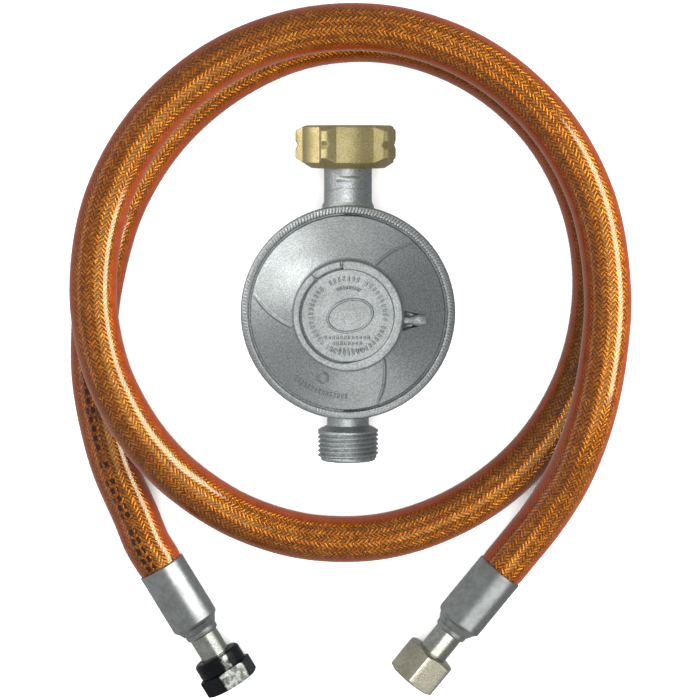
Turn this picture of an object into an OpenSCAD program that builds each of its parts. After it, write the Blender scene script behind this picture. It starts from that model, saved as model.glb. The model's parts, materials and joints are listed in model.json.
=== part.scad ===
// Gas regulator with its braided connection hose.
// Origin: centre of the regulator's flat back, on the surface it lies on.
// +Z points up through the cover, +Y from the outlet towards the inlet nut.

/* [Regulator] */
// Outer radius of the crimped rim
rim_r = 35; // [34.5:0.5:36]
// Height of the rim's top above the resting face
rim_top = 30; // [30:0.5:31]
// Outer radius of the bowl below the rim
bowl_r = 30.5; // [30.5:0.5:31]
// Radius of the flat resting face
base_r = 21; // [18:1:22]
// Height of the inlet and outlet axis
port_z = 17.8; // [17.8:0.1:18]
// Outer radius of the round boss on the cover
boss_r = 17.6; // [17.2:0.1:18]
// Height of the boss's top
boss_top = 42.5; // [42:0.5:44]
// Radius of the cap let into the boss
cap_r = 14.85; // [14:0.05:14.85]
// Width of each swirl rib on the cover
rib_w = 1.2; // [0.8:0.1:1.6]

/* [Inlet nut] */
// Minor radius of the W21.8 x 1/14 left-hand thread
inlet_thread_r = 9.74; // [9.74:0.01:9.8]
// Radius over the lugs
lug_r = 17.4; // [16.8:0.1:17.4]
// Radius between the lugs
nut_body_r = 15; // [14.6:0.1:15.4]
// Number of lugs
lug_count = 5; // [4:1:6]
// Length of the nut
inlet_nut_len = 14; // [13:0.5:15]

/* [Outlet] */
// Crest radius of the M20 x 1.5 thread
outlet_thread_r = 10; // [10:0.1:10.2]
// Bore radius behind the thread
outlet_bore_r = 5.6; // [5.5:0.1:5.8]

/* [Hose] */
// Outside diameter of the hose
hose_od = 15.5; // [15:0.1:15.5]
// Bore radius of the hose
hose_bore_r = 4.25; // [4.25:0.05:4.5]
// Sides of the hose's tube
hose_sides = 12; // [8:1:12]

/* [Hose ends] */
// Height of both hose ends' axes
end_z = 10; // [10:0.1:10.5]
// Outer radius of the crimped ferrule
ferrule_r = 8.1; // [8:0.1:8.3]
// Length of the ferrule's cylinder
ferrule_len = 22.4; // [20.4:0.5:22.4]
// Outer radius of the stem
stem_r = 4.9; // [4.7:0.1:4.9]
// Width across the flats of both hose nuts
hex_af = 17; // [16.5:0.5:17]
// Minor radius of the G 1/4 thread
hose_thread_r = 5.72; // [5.7:0.01:5.8]

/* [Hidden] */
$fn = 96;

ZINC = [0.72, 0.74, 0.74];
STEEL = [0.60, 0.62, 0.62];
BRASS = [0.75, 0.63, 0.34];
RUBBER = [0.10, 0.10, 0.11];
SPRING = [0.45, 0.46, 0.48];
EPS = 0.01;

// Regulator heights and radii
bowl_wall = 3;
shelf_z = 26;
chamber_r = 27.5;
diaphragm_t = 1.2;
joint_gap = 0.05;
flange_r = 33.6;
flange_bottom = shelf_z + diaphragm_t + 2 * joint_gap;
flange_top = rim_top - 1;
lip_r = 32.3;
lip_t = 0.95;
cap_t = 1.2;
cap_floor = boss_top - 2;
tower_r = 9.2;
tower_wall = 2.4;
tower_z = 31.5;
dome_edge_z = 29.4;
dome_foot_z = 37.4;
adjuster_z = 36.8;
adjuster_t = 3;
plate_top = flange_bottom + 0.8;

// The vent's spout on the cover, measured along +X
vent_y = -2;
vent_z = 34.6;
vent_len = 11.4;

// Inlet, measured along +Y
neck_start = 27;
neck_r = 7.85;
neck_end = 50.2;
inlet_root_r = 8.5;
inlet_root_end = 34.6;
gas_bore_r = 3;
nozzle_r = 4;
nozzle_end = 34.5;
nozzle_seat = 24.6;
nipple_r = 5.5;
nipple_start = 36;
nipple_end = neck_end + 1.8;
filter_r = 4.2;
filter_seat = nipple_end - 2.5;
inlet_washer_t = 1.5;

// Inlet nut: the first lug's angle is from straight up towards +X
nut_rear = 46.9;
first_lug = -26.5;
lug_base_angle = 12;
lug_top_angle = 3;
notch_at = 7.6;
notch_depth = 0.8;

// Outlet, measured along -Y
outlet_port_r = 4.2;
outlet_root_r = 7.9;
outlet_root_end = 34.7;
outlet_relief_r = 6.9;
outlet_relief_end = 38;
outlet_thread_start = 39.6;
outlet_thread_end = 48.7;
outlet_end = 49.7;

// Excess-flow valve in the outlet
flow_bore_r = 5.2;
flow_bore_start = 31;
flow_bore_end = 41.6;
flow_seat = 38.6;
flow_seat_t = 2.6;
flow_disc_r = 4.9;
flow_disc_t = 1.5;

// Valve mechanism
pivot_y = 15;
pivot_z = port_z - 6;
pin_r = 1;
cheek_in = 3.5;
cheek_out = 5.5;
cheek_len = 10;
cheek_top = 19.9;
lever_w = 2.8;
pad_t = 1.7;
pad_face = nozzle_seat - 0.9;
poppet_rear = 11.5;
poppet_r = 3;
stud_r = 3;
stud_thread_r = 1.9;
yoke_gap = 3.8;

// Hose ends: mouth of each ferrule, and the direction its nut faces
LEFT_MOUTH = [-62.7, -86.6];
LEFT_DIR = -59;
LEFT_TURN = 10.5;
RIGHT_MOUTH = [51.1, -88.1];
RIGHT_DIR = 231;
RIGHT_TURN = 9;
hex_r = hex_af / 2 / cos(30);
grip_r = 7;
hose_in_grip_r = 6.9;
hose_inset = ferrule_len - 1.4;
nut_hole_r = stem_r + 0.3;
collar_r = 5.55;
collar_t = 1.2;
washer_t = 1;
left_nut_rear = 35.05;
left_nut_front = 46.6;
left_collar_r = 8.25;
left_collar_len = 5.6;
right_nut_rear = 36;
right_nut_front = 47.9;
stem_collar_at = 3.6; // from each nut's rear face

// Hose radius inside each ferrule and just outside it, as [distance, radius]
GRIP = [[hose_inset, hose_in_grip_r], [3, hose_in_grip_r], [0, 7.5], [-3, hose_od / 2]];

// The hose's route between its ends as [angle, radius, height] about the loop's centre.
// It lies on the surface for its first turn and then climbs over itself.
LOOP_CENTRE = [0, 7];
ROUTE = [
    [227, 104.5, 9], [218, 99, 8], [210, 94.5, 8], [200, 90, 8], [190, 86, 8],
    [180, 83, 8], [160, 80, 8], [140, 79, 8], [120, 79.5, 8], [100, 81.5, 8],
    [80, 83, 8], [60, 83.5, 8], [40, 83.5, 8], [20, 83, 8], [0, 82.5, 8],
    [-20, 82.5, 8], [-40, 83, 8], [-60, 83.5, 8], [-80, 84.5, 8], [-98, 85, 8],
    [-114, 85, 9], [-128, 84.5, 12.5], [-140, 84, 17.5], [-152, 83.5, 22], [-164, 83.5, 24],
    [-180, 83.5, 24], [-200, 84, 23.5], [-220, 84.5, 23], [-240, 85, 23], [-260, 85.5, 23.5],
    [-280, 86, 24], [-300, 86, 24], [-320, 85.5, 24], [-340, 85, 24], [-360, 85, 24],
    [-374, 86.5, 24], [-385, 89.5, 23], [-394, 93, 20.5], [-402, 97, 15.5], [-410, 101, 11.5]
];

// ---- helpers ----

// Puts a shape built on +Z onto the inlet axis, pointing along +Y
module inlet_axis(y = 0) {
    translate([0, y, port_z]) rotate([-90, 0, 0]) children();
}

// Puts a shape built on +Z onto the outlet axis, pointing along -Y
module outlet_axis(y = 0) {
    translate([0, -y, port_z]) rotate([90, 0, 0]) children();
}

// Puts a shape built on +Z onto a hose end, pointing from the ferrule's mouth to the nut
module hose_end(mouth, dir) {
    translate([mouth[0], mouth[1], end_z]) rotate([0, 90, dir]) children();
}

// Puts a shape built on +Z across the lever's pivot, pointing along +X, at a height
module pivot_axis(z) {
    translate([0, pivot_y, z]) rotate([0, 90, 0]) children();
}

// Round bar from z0 to z1
module shaft(r, z0, z1) {
    translate([0, 0, z0]) cylinder(r = r, h = z1 - z0);
}

// Cone from z0 to z1
module cone(r0, r1, z0, z1) {
    translate([0, 0, z0]) cylinder(r1 = r0, r2 = r1, h = z1 - z0);
}

// Ring from z0 to z1
module ring(r_out, r_in, z0, z1) {
    difference() {
        shaft(r_out, z0, z1);
        shaft(r_in, z0 - 1, z1 + 1);
    }
}

// Points of an arc about a centre, in degrees
function arc(centre, r, a0, a1, n = 8) =
    [for (i = [0:n]) centre + r * [cos(a0 + (a1 - a0) * i / n), sin(a0 + (a1 - a0) * i / n)]];

function unit(v) = v / norm(v);

// One centripetal Catmull-Rom point between p1 and p2, at u from 0 to 1
function knot(t, a, b) = t + sqrt(norm(b - a));
function mix(a, b, ta, tb, t) = ((tb - t) * a + (t - ta) * b) / (tb - ta);
function spline_point(p0, p1, p2, p3, u) =
    let (
        t1 = knot(0, p0, p1),
        t2 = knot(t1, p1, p2),
        t3 = knot(t2, p2, p3),
        t = t1 + (t2 - t1) * u,
        a1 = mix(p0, p1, 0, t1, t),
        a2 = mix(p1, p2, t1, t2, t),
        a3 = mix(p2, p3, t2, t3, t),
        b1 = mix(a1, a2, 0, t2, t),
        b2 = mix(a2, a3, t1, t3, t)
    )
    mix(b1, b2, t1, t2, t);

// Closed tube through the centres, with one outer and one inner radius at each
module swept_tube(centres, outer, inner, sides) {
    n = len(centres);
    last = n - 1;
    tangents = [for (i = [0:last]) unit(centres[min(i + 1, last)] - centres[max(i - 1, 0)])];
    across = [for (t = tangents) unit(cross(t, [0, 0, 1]))];
    up = [for (i = [0:last]) cross(across[i], tangents[i])];
    function ring_points(i, r) =
        [for (k = [0:sides - 1]) centres[i]
            + r * (cos(360 * k / sides) * across[i] + sin(360 * k / sides) * up[i])];
    points = [
        for (i = [0:last]) each ring_points(i, outer[i]),
        for (i = [0:last]) each ring_points(i, inner[i])
    ];
    function at(i, k, layer) = layer * n * sides + i * sides + (k % sides);
    faces = [
        for (i = [0:last - 1]) for (k = [0:sides - 1])
            [at(i, k, 0), at(i + 1, k, 0), at(i + 1, k + 1, 0), at(i, k + 1, 0)],
        for (i = [0:last - 1]) for (k = [0:sides - 1])
            [at(i, k, 1), at(i, k + 1, 1), at(i + 1, k + 1, 1), at(i + 1, k, 1)],
        for (k = [0:sides - 1]) [at(0, k, 0), at(0, k + 1, 0), at(0, k + 1, 1), at(0, k, 1)],
        for (k = [0:sides - 1])
            [at(last, k, 0), at(last, k, 1), at(last, k + 1, 1), at(last, k + 1, 0)]
    ];
    polyhedron(points, faces, convexity = 8);
}

// Coil spring on +Z: a round wire swept along its helix
module coil(r, wire_r, length, turns, steps = 18, sides = 6) {
    n = ceil(turns * steps);
    pitch = (length - 2 * wire_r) / turns;
    function centre(i) =
        let (a = 360 * i / steps)
        [r * cos(a), r * sin(a), wire_r + pitch * i / steps];
    function wire_point(i, k) =
        let (a = 360 * i / steps, b = 360 * k / sides)
        centre(i) + wire_r * [cos(b) * cos(a), cos(b) * sin(a), sin(b)];
    points = [for (i = [0:n]) for (k = [0:sides - 1]) wire_point(i, k)];
    faces = [
        for (i = [0:n - 1]) for (k = [0:sides - 1])
            [i * sides + k, i * sides + (k + 1) % sides,
             (i + 1) * sides + (k + 1) % sides, (i + 1) * sides + k],
        [for (k = [sides - 1:-1:0]) k],
        [for (k = [0:sides - 1]) n * sides + k]
    ];
    polyhedron(points, faces, convexity = 8);
}

// ---- regulator ----

// Height of the cover's conical outer surface at a radius
function dome_z(r) =
    dome_edge_z + (dome_foot_z - dome_edge_z) * (lip_r - r) / (lip_r - boss_r);

// Bowl, without its ports
module bowl() {
    corner = bowl_r - base_r;
    inner_corner = 6;
    rotate_extrude()
        polygon(concat(
            [[0, 0]],
            arc([base_r, corner], corner, -90, 0),
            [[bowl_r, shelf_z - 5], [rim_r, shelf_z - 0.8], [rim_r, rim_top - 0.6]],
            [[rim_r - 0.6, rim_top], [lip_r + 0.3, rim_top], [lip_r, rim_top - lip_t / 2]],
            [[lip_r + 0.2, rim_top - lip_t], [flange_r + joint_gap, rim_top - lip_t]],
            [[flange_r + joint_gap, shelf_z], [chamber_r, shelf_z]],
            arc([chamber_r - inner_corner, bowl_wall + inner_corner], inner_corner, 0, -90),
            [[0, bowl_wall]]
        ));
}

// Solid of both port necks, outside the chamber
module port_necks() {
    inlet_axis() {
        shaft(neck_r, neck_start, neck_end);
        shaft(inlet_root_r, neck_start, inlet_root_end);
        cone(inlet_root_r, neck_r, inlet_root_end, inlet_root_end + 1.2);
    }
    outlet_axis() {
        shaft(outlet_root_r, neck_start, outlet_root_end);
        shaft(outlet_relief_r, neck_start, outlet_relief_end + 0.3);
        cone(outlet_relief_r, outlet_thread_r, outlet_relief_end, outlet_thread_start);
        shaft(outlet_thread_r, outlet_thread_start, outlet_thread_end);
        cone(outlet_thread_r, outlet_thread_r - 1, outlet_thread_end, outlet_end);
    }
}

// Two cheeks on the chamber's floor that hold the lever's pin
module lever_cheeks() {
    bottom = bowl_wall - 0.5;
    for (x = [-cheek_out, cheek_in])
        translate([x, pivot_y - cheek_len / 2, bottom])
            cube([cheek_out - cheek_in, cheek_len, cheek_top - bottom]);
}

// Raised bar cast on top of the inlet neck
module neck_bar() {
    translate([-4, 42.6, port_z + 5]) cube([8, 1.7, neck_r - 5 + 0.25]);
}

module regulator_body() {
    color(ZINC)
    difference() {
        union() {
            bowl();
            difference() {
                port_necks();
                translate([0, 0, bowl_wall]) cylinder(r = chamber_r, h = shelf_z);
            }
            neck_bar();
            lever_cheeks();
        }
        inlet_axis() {
            shaft(gas_bore_r, 20, neck_end + 1);
            shaft(nozzle_r, 20, nozzle_end);
            shaft(nipple_r, nipple_start, neck_end + 1);
        }
        outlet_axis() {
            shaft(outlet_port_r, 20, flow_bore_start + 1);
            shaft(flow_bore_r, flow_bore_start, flow_bore_end + 1);
            shaft(outlet_bore_r, flow_bore_end, outlet_end + 1);
        }
        pivot_axis(pivot_z) cylinder(r = pin_r, h = 20, center = true);
    }
}

// Curved wall between two points of the cover, seen from above, bulging clockwise
module swirl_wall(a0, r0, a1, r1, bend_r) {
    p0 = r0 * [cos(a0), sin(a0)];
    p1 = r1 * [cos(a1), sin(a1)];
    chord = p1 - p0;
    half = norm(chord) / 2;
    side = unit([-chord[1], chord[0]]);
    centre = (p0 + p1) / 2 - side * sqrt(bend_r * bend_r - half * half);
    translate([centre[0], centre[1], dome_edge_z - 1])
        difference() {
            cylinder(r = bend_r + rib_w / 2, h = boss_top - dome_edge_z);
            translate([0, 0, -1]) cylinder(r = bend_r - rib_w / 2, h = boss_top);
        }
}

// Three low swirl ribs that follow the cover's cone
module swirl_ribs() {
    rib_h = 0.4;
    rib_end = 31.4;
    for (rib = [[62, 47], [194, 168], [310, 287]])
        intersection() {
            swirl_wall(rib[0], boss_r, rib[1], rib_end, 24);
            rotate_extrude()
                polygon([
                    [boss_r - 1, dome_z(boss_r) - 1], [rib_end, dome_z(rib_end) - 1],
                    [rib_end, dome_z(rib_end) + rib_h / 3], [boss_r - 1, dome_z(boss_r - 1) + rib_h]
                ]);
            rotate((rib[0] + rib[1]) / 2 - 30) rotate_extrude(angle = 60) square([rib_end, boss_top]);
        }
}

// Half-round spout over the vent hole
module vent_spout() {
    translate([boss_r - 3, vent_y, vent_z])
        rotate([0, 90, 0]) cylinder(r1 = 3, r2 = 2.6, h = vent_len);
}

module regulator_cover() {
    pocket_r = 15.4;
    wall = 2.2;
    color(ZINC)
    difference() {
        union() {
            rotate_extrude()
                polygon([
                    [flange_r, flange_bottom], [flange_r, flange_top], [lip_r, flange_top],
                    [lip_r - 0.2, dome_edge_z], [boss_r + 0.8, dome_z(boss_r + 0.8)],
                    [boss_r, dome_foot_z + 0.6], [boss_r, boss_top - 0.5],
                    [boss_r - 0.5, boss_top], [cap_r + joint_gap, boss_top],
                    [cap_r + joint_gap, cap_floor], [tower_r, cap_floor], [tower_r, tower_z],
                    [tower_r + tower_wall, tower_z], [tower_r + tower_wall, cap_floor - 1.8],
                    [pocket_r, cap_floor - 1.8], [pocket_r, dome_z(pocket_r) - wall - 1.4],
                    [chamber_r, dome_z(chamber_r) - wall], [30, flange_bottom]
                ]);
            swirl_ribs();
            vent_spout();
        }
        translate([boss_r - 4.6, vent_y, vent_z + 0.6]) rotate([0, 90, 0]) cylinder(r = 1, h = 16);
        translate([0, 0, boss_top - 0.8]) rotate(97)
            rotate_extrude(angle = 33) translate([cap_r - 1, 0]) square([boss_r, 2]);
    }
}

module boss_cap() {
    color(ZINC)
        rotate_extrude()
            polygon([
                [0, cap_floor], [cap_r, cap_floor], [cap_r, cap_floor + cap_t - 0.2],
                [cap_r - 0.2, cap_floor + cap_t], [0, cap_floor + cap_t]
            ]);
}

module spring_adjuster() {
    color(BRASS)
    difference() {
        shaft(tower_r, adjuster_z, adjuster_z + adjuster_t);
        translate([0, 0, adjuster_z - 1]) cylinder(r = 4, h = adjuster_t + 2, $fn = 6);
    }
}

module main_spring() {
    color(SPRING)
        translate([0, 0, plate_top]) coil(7, 0.6, adjuster_z - plate_top, 5);
}

module diaphragm() {
    color(RUBBER)
        ring(flange_r - 0.2, 2, shelf_z + joint_gap, shelf_z + joint_gap + diaphragm_t);
}

// Pressed plate with a turned-up edge and a relief hole
module diaphragm_plate() {
    plate_r = 18;
    edge_z = flange_bottom + 2;
    color(STEEL)
    difference() {
        rotate_extrude()
            polygon([
                [2, flange_bottom], [plate_r, flange_bottom], [plate_r, edge_z],
                [plate_r - 0.8, edge_z], [plate_r - 0.8, plate_top], [2, plate_top]
            ]);
        translate([0, 12, flange_bottom - 1]) cylinder(r = 0.8, h = 4);
    }
}

// Turned stud: flange under the diaphragm, yoke at the bottom, thread at the top
module diaphragm_stud() {
    flange_z = shelf_z - 1;
    color(STEEL)
    difference() {
        union() {
            shaft(stud_r, pivot_z - 2.6, flange_z);
            shaft(5, flange_z, flange_z + 0.9);
            shaft(stud_thread_r, flange_z, flange_z + 5.6);
        }
        translate([0, 0, pivot_z]) cube([yoke_gap, 10, yoke_gap], center = true);
    }
}

module stud_nut() {
    color(STEEL)
    difference() {
        translate([0, 0, plate_top]) cylinder(r = 3.8, h = 2, $fn = 6);
        shaft(stud_thread_r, flange_bottom, plate_top + 3);
    }
}

// Bell crank: the long arm reaches the stud's yoke, the short arm the poppet's slot
module valve_lever() {
    hub_w = 2 * cheek_in - 1;
    arm_t = 2;
    color(STEEL)
    difference() {
        union() {
            pivot_axis(pivot_z) cylinder(r = 2.2, h = hub_w, center = true);
            translate([-lever_w / 2, 0, pivot_z - arm_t / 2]) cube([lever_w, pivot_y, arm_t]);
            translate([0, -pivot_y, 0])
                pivot_axis(pivot_z) cylinder(r = 1.3, h = lever_w, center = true);
            translate([-lever_w / 2, pivot_y - arm_t / 2, pivot_z])
                cube([lever_w, arm_t, port_z - pivot_z]);
            pivot_axis(port_z) cylinder(r = 1.2, h = lever_w, center = true);
        }
        pivot_axis(pivot_z) cylinder(r = pin_r + joint_gap, h = 10, center = true);
    }
}

module lever_pin() {
    color(STEEL)
        pivot_axis(pivot_z) cylinder(r = pin_r, h = 2 * cheek_out, center = true);
}

// Bar with a slot from below for the lever's short arm
module valve_poppet() {
    slot = 3.2;
    color(BRASS)
    difference() {
        inlet_axis() shaft(poppet_r, poppet_rear, pad_face - pad_t);
        translate([-yoke_gap / 2, pivot_y - slot / 2, port_z - 5]) cube([yoke_gap, slot, 6.5]);
    }
}

module valve_seat_pad() {
    color(RUBBER)
        inlet_axis() shaft(poppet_r - 0.4, pad_face - pad_t, pad_face);
}

// Jet whose tip is the valve's seat
module inlet_nozzle() {
    tip_r = 2.8;
    color(BRASS)
        inlet_axis() {
            difference() {
                union() {
                    shaft(nozzle_r, neck_start, nozzle_end);
                    shaft(tip_r, nozzle_seat + 0.6, neck_start + 1);
                    cone(tip_r - 0.8, tip_r, nozzle_seat, nozzle_seat + 0.6);
                }
                shaft(1.1, nozzle_seat - 1, nozzle_end + 1);
            }
        }
}

// Flanged nipple that holds the nut on the neck
module inlet_nipple() {
    flange = 9.35;
    color(BRASS)
        inlet_axis() {
            difference() {
                union() {
                    shaft(nipple_r, nipple_start, nipple_end);
                    shaft(flange, neck_end, nipple_end);
                }
                shaft(gas_bore_r, nipple_start - 1, nipple_end + 1);
                shaft(filter_r, filter_seat, nipple_end + 1);
            }
        }
}

module inlet_filter() {
    color(STEEL)
        inlet_axis() shaft(filter_r, filter_seat, filter_seat + 2);
}

module inlet_washer() {
    color(RUBBER)
        inlet_axis() ring(9.3, 5, nipple_end, nipple_end + inlet_washer_t);
}

// Outline limits of the lugged nut: chamfered at both ends
module inlet_nut_envelope() {
    rotate_extrude()
        polygon([
            [0, 0], [12, 0], [14, 1.2], [lug_r, 3.3], [lug_r, inlet_nut_len - 1.7],
            [14, inlet_nut_len], [0, inlet_nut_len]
        ]);
}

// One lug pointing along +X, a wedge that narrows towards its top
module lug() {
    base = lug_base_angle;
    top = lug_top_angle;
    inner = nut_body_r - 0.6;
    outer = lug_r + 0.4;
    linear_extrude(inlet_nut_len)
        polygon([
            inner * [cos(base), -sin(base)], outer * [cos(top), -sin(top)],
            outer * [cos(top), sin(top)], inner * [cos(base), sin(base)]
        ]);
}

module inlet_nut() {
    notch_r = lug_r - notch_depth;
    groove_end = 7;
    color(BRASS)
        inlet_axis(nut_rear) {
            difference() {
                intersection() {
                    union() {
                        cylinder(r = nut_body_r, h = inlet_nut_len);
                        for (i = [0:lug_count - 1])
                            rotate(first_lug - 90 + i * 360 / lug_count) lug();
                    }
                    inlet_nut_envelope();
                }
                rotate_extrude()
                    polygon([
                        [notch_r, notch_at], [lug_r + 1, notch_at - 2], [lug_r + 1, notch_at + 2]
                    ]);
                shaft(neck_r + 0.3, -1, groove_end);
                shaft(11, 3, groove_end);
                shaft(inlet_thread_r, 3, inlet_nut_len + 1);
                cone(inlet_thread_r, 11.8, inlet_nut_len - 1, inlet_nut_len + 1.1);
            }
        }
}

module excess_flow_seat() {
    color(BRASS)
        outlet_axis() ring(flow_bore_r, 2.9, flow_seat, flow_seat + flow_seat_t);
}

// Piston that the spring holds back on the shoulder until the flow is too great
module excess_flow_piston() {
    color(STEEL)
        outlet_axis(flow_bore_start + 0.1) {
            difference() {
                cylinder(r = flow_disc_r, h = flow_disc_t);
                for (a = [0:60:300])
                    rotate(a) translate([3.9, 0, -1]) cylinder(r = 0.7, h = flow_disc_t + 2);
            }
            cone(3.6, 2.6, flow_disc_t, flow_disc_t + 5);
        }
}

module excess_flow_spring() {
    start = flow_bore_start + flow_disc_t + 0.2;
    color(SPRING)
        outlet_axis(start) coil(4.3, 0.3, flow_seat - start - 0.1, 3);
}

// ---- hose and its ends ----

function end_point(mouth, dir, distance) =
    [mouth[0] + distance * cos(dir), mouth[1] + distance * sin(dir), end_z];

function route_point(r) =
    [LOOP_CENTRE[0] + r[1] * cos(r[0]), LOOP_CENTRE[1] + r[1] * sin(r[0]), r[2]];

// Control points of the free stretch, from just outside one ferrule to the other
function free_points() = concat(
    [end_point(LEFT_MOUTH, LEFT_DIR, -3), end_point(LEFT_MOUTH, LEFT_DIR, -9)],
    [for (r = ROUTE) route_point(r)],
    [end_point(RIGHT_MOUTH, RIGHT_DIR, -8), end_point(RIGHT_MOUTH, RIGHT_DIR, -3)]
);

// The spline through the control points, with a ring about every diameter
function free_centres(p) =
    let (last = len(p) - 1)
    [
        for (i = [0:last - 1])
            let (
                before = i == 0 ? 2 * p[0] - p[1] : p[i - 1],
                after = i == last - 1 ? 2 * p[last] - p[last - 1] : p[i + 2],
                steps = norm(p[i + 1] - p[i]) > 1.6 * hose_od ? 2 : 1
            )
            for (k = [0:steps - 1]) spline_point(before, p[i], p[i + 1], after, k / steps),
        p[last]
    ];

module hose() {
    free = free_centres(free_points());
    grip_count = len(GRIP) - 2;
    left = [for (g = GRIP) if (g[0] > -3) end_point(LEFT_MOUTH, LEFT_DIR, g[0])];
    right = [for (i = [grip_count:-1:0]) end_point(RIGHT_MOUTH, RIGHT_DIR, GRIP[i][0])];
    centres = concat(left, free, right);
    outer = concat(
        [for (i = [0:grip_count]) GRIP[i][1]],
        [for (c = free) hose_od / 2],
        [for (i = [grip_count:-1:0]) GRIP[i][1]]
    );
    color([0.74, 0.40, 0.14])
        swept_tube(centres, outer, [for (c = centres) hose_bore_r], hose_sides);
}

// Crimped ferrule: flared mouth at z = 0, taper onto the stem at the far end
module ferrule() {
    end = ferrule_len + 4.7;
    color(STEEL)
        rotate_extrude()
            polygon([
                [grip_r, 3.4], [7.65, 0], [ferrule_r - 0.1, 0], [ferrule_r, 0.2],
                [ferrule_r, ferrule_len - 0.6], [ferrule_r - 0.4, ferrule_len],
                [7, ferrule_len + 0.7], [5.9, ferrule_len + 2.6], [5.5, ferrule_len + 2.8],
                [5.75, ferrule_len + 3.1], [5.6, end - 0.4], [5.2, end], [stem_r, end],
                [stem_r, ferrule_len - 0.4], [grip_r, ferrule_len - 0.4]
            ]);
}

// Barbed stem: tail inside the hose, tube through the ferrule, collar inside the nut
module stem(collar_at) {
    tail_r = 3.7;
    barb_r = 4;
    bore_r = 2.9;
    color(STEEL)
        rotate_extrude()
            polygon(concat(
                [[bore_r, 1.5], [tail_r - 0.4, 1.5]],
                [for (b = [0:3]) each [
                    [barb_r, 4 + 4.5 * b], [tail_r, 4.2 + 4.5 * b], [tail_r, 6 + 4.5 * b]
                ]],
                [[tail_r, 21.8], [stem_r, 21.8], [stem_r, collar_at], [collar_r, collar_at]],
                [[collar_r, collar_at + collar_t], [bore_r, collar_at + collar_t]]
            ));
}

module end_washer(collar_at) {
    color(RUBBER)
        ring(collar_r - 0.1, 3.1, collar_at + collar_t, collar_at + collar_t + washer_t);
}

// Bores of a hose nut: rear hole, relief groove for the collar and washer, thread, mouth
module nut_bores(rear, front) {
    groove = rear + stem_collar_at - 0.2;
    shaft(nut_hole_r, rear - 1, front);
    shaft(6.6, groove, groove + 2.6);
    shaft(hose_thread_r, groove, front + 1);
    cone(hose_thread_r, 7.12, front - 0.7, front + 0.7);
}

// Hexagon between z0 and z1, with each end chamfered where asked
module hexagon(z0, z1, turn, rear_cut, front_cut) {
    intersection() {
        translate([0, 0, z0]) rotate(turn) cylinder(r = hex_r, h = z1 - z0, $fn = 6);
        rotate_extrude()
            polygon([
                [0, z0], [hex_r - 2 * rear_cut, z0], [hex_r + EPS, z0 + rear_cut],
                [hex_r + EPS, z1 - front_cut], [hex_r - 2 * front_cut, z1], [0, z1]
            ]);
    }
}

module left_ferrule() {
    hose_end(LEFT_MOUTH, LEFT_DIR) ferrule();
}

module left_stem() {
    hose_end(LEFT_MOUTH, LEFT_DIR) stem(left_nut_rear + stem_collar_at);
}

module left_washer() {
    hose_end(LEFT_MOUTH, LEFT_DIR) end_washer(left_nut_rear + stem_collar_at);
}

// Round collar at the rear, hexagon at the front
module left_nut() {
    hex_rear = left_nut_rear + left_collar_len;
    color([0.15, 0.16, 0.20])
        hose_end(LEFT_MOUTH, LEFT_DIR)
            difference() {
                union() {
                    rotate_extrude()
                        polygon([
                            [0, left_nut_rear], [left_collar_r - 0.8, left_nut_rear],
                            [left_collar_r, left_nut_rear + 0.8], [left_collar_r, hex_rear],
                            [0, hex_rear]
                        ]);
                    hexagon(hex_rear - EPS, left_nut_front, LEFT_TURN, 0.4, 0.5);
                }
                nut_bores(left_nut_rear, left_nut_front);
            }
}

module right_ferrule() {
    hose_end(RIGHT_MOUTH, RIGHT_DIR) ferrule();
}

module right_stem() {
    hose_end(RIGHT_MOUTH, RIGHT_DIR) stem(right_nut_rear + stem_collar_at);
}

module right_washer() {
    hose_end(RIGHT_MOUTH, RIGHT_DIR) end_washer(right_nut_rear + stem_collar_at);
}

module right_nut() {
    color([0.72, 0.71, 0.64])
        hose_end(RIGHT_MOUTH, RIGHT_DIR)
            difference() {
                hexagon(right_nut_rear, right_nut_front, RIGHT_TURN, 0.9, 0.8);
                nut_bores(right_nut_rear, right_nut_front);
            }
}

regulator_body();
regulator_cover();
boss_cap();
spring_adjuster();
main_spring();
diaphragm();
diaphragm_plate();
diaphragm_stud();
stud_nut();
valve_lever();
lever_pin();
valve_poppet();
valve_seat_pad();
inlet_nozzle();
inlet_nipple();
inlet_filter();
inlet_washer();
inlet_nut();
excess_flow_seat();
excess_flow_piston();
excess_flow_spring();
hose();
left_ferrule();
left_stem();
left_washer();
left_nut();
right_ferrule();
right_stem();
right_washer();
right_nut();
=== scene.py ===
"""Gas bottle regulator with its braided connection hose, lying on a pale surface.

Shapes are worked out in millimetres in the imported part's frame and turned into metres as each
mesh is made: the origin is under the centre of the regulator's cover, +Z points up and +Y from
the outlet towards the brass inlet nut.
"""

import json
import math

import bmesh
import bpy
import numpy as np
from mathutils import Matrix, Vector


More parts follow.
